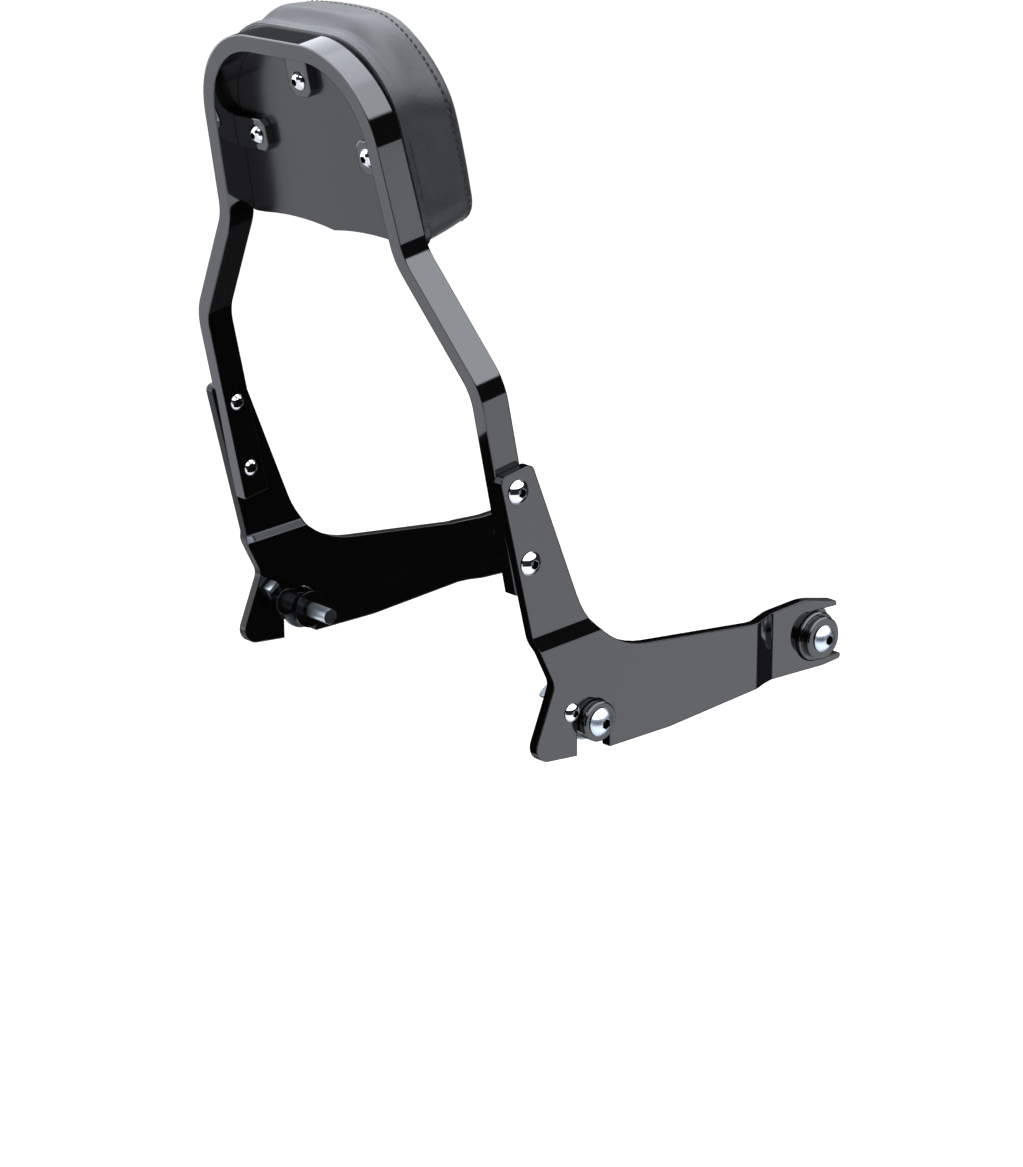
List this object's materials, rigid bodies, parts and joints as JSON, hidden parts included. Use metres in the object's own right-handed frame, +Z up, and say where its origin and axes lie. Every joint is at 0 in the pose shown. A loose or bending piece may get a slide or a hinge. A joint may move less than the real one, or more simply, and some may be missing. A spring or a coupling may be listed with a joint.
{
  "type": "sissy bar",
  "caption": "Flat-bar passenger backrest loop with a leather pad, bolted to two detachable side plates with a front fork, a rear notch and a latch each.",
  "frame": {"origin": "midway between the two front docking bolts, on the centre plane", "axes": "+X to the rider's right, +Y forward along the motorcycle, +Z up"},
  "size_m": [0.3086, 0.3135, 0.4112],
  "materials": {
    "gloss_black": "gloss black paint",
    "panel_grey": "satin dark grey moulded panel",
    "black_leather": "black fine-grained leather cover over foam, stitched seam",
    "polished_screw": "polished screws with hex sockets",
    "zinc_plate": "bright zinc plating, slightly blue",
    "spring_steel": "drawn spring wire"
  },
  "bodies": {
    "root": {"loop_bar": "gloss_black", "tab_top": "gloss_black", "tab_left": "gloss_black", "tab_right": "gloss_black", "pad_back_panel": "panel_grey", "pad_cushion": "black_leather", "pad_screw_top": "polished_screw", "pad_screw_left": "polished_screw", "pad_screw_right": "polished_screw", "tee_nut_top": "zinc_plate", "tee_nut_left": "zinc_plate", "tee_nut_right": "zinc_plate", "side_plate_left": "gloss_black", "side_plate_right": "gloss_black", "leg_screw_left_upper": "polished_screw", "leg_screw_left_lower": "polished_screw", "leg_screw_right_upper": "polished_screw", "leg_screw_right_lower": "polished_screw", "leg_nut_left_upper": "polished_screw", "leg_nut_left_lower": "polished_screw", "leg_nut_right_upper": "polished_screw", "leg_nut_right_lower": "polished_screw", "bushing_front_left": "gloss_black", "bushing_front_right": "gloss_black", "bushing_rear_left": "gloss_black", "bushing_rear_right": "gloss_black", "bolt_front_left": "zinc_plate", "bolt_front_right": "zinc_plate", "bolt_rear_left": "zinc_plate", "bolt_rear_right": "zinc_plate", "latch_pivot_left": "polished_screw", "latch_pivot_right": "polished_screw", "latch_cap_left": "gloss_black", "latch_cap_right": "gloss_black"},
    "latch_left": {"latch_left": "zinc_plate", "latch_spring_left": "spring_steel"},
    "latch_right": {"latch_right": "zinc_plate", "latch_spring_right": "spring_steel"}
  },
  "joints": [
    {"name": "latch_right_pivot", "type": "hinge", "parent": "root", "child": "latch_right", "pos_m": [0.135, -0.196, -0.0036], "axis": [-1, 0, 0], "range_deg": [0, 40], "stiffness_Nm_per_rad": 0.06, "springref_deg": -45.84},
    {"name": "latch_left_pivot", "type": "hinge", "parent": "root", "child": "latch_left", "pos_m": [-0.135, -0.196, -0.0036], "axis": [-1, 0, 0], "range_deg": [0, 40], "stiffness_Nm_per_rad": 0.06, "springref_deg": -45.84}
  ]
}
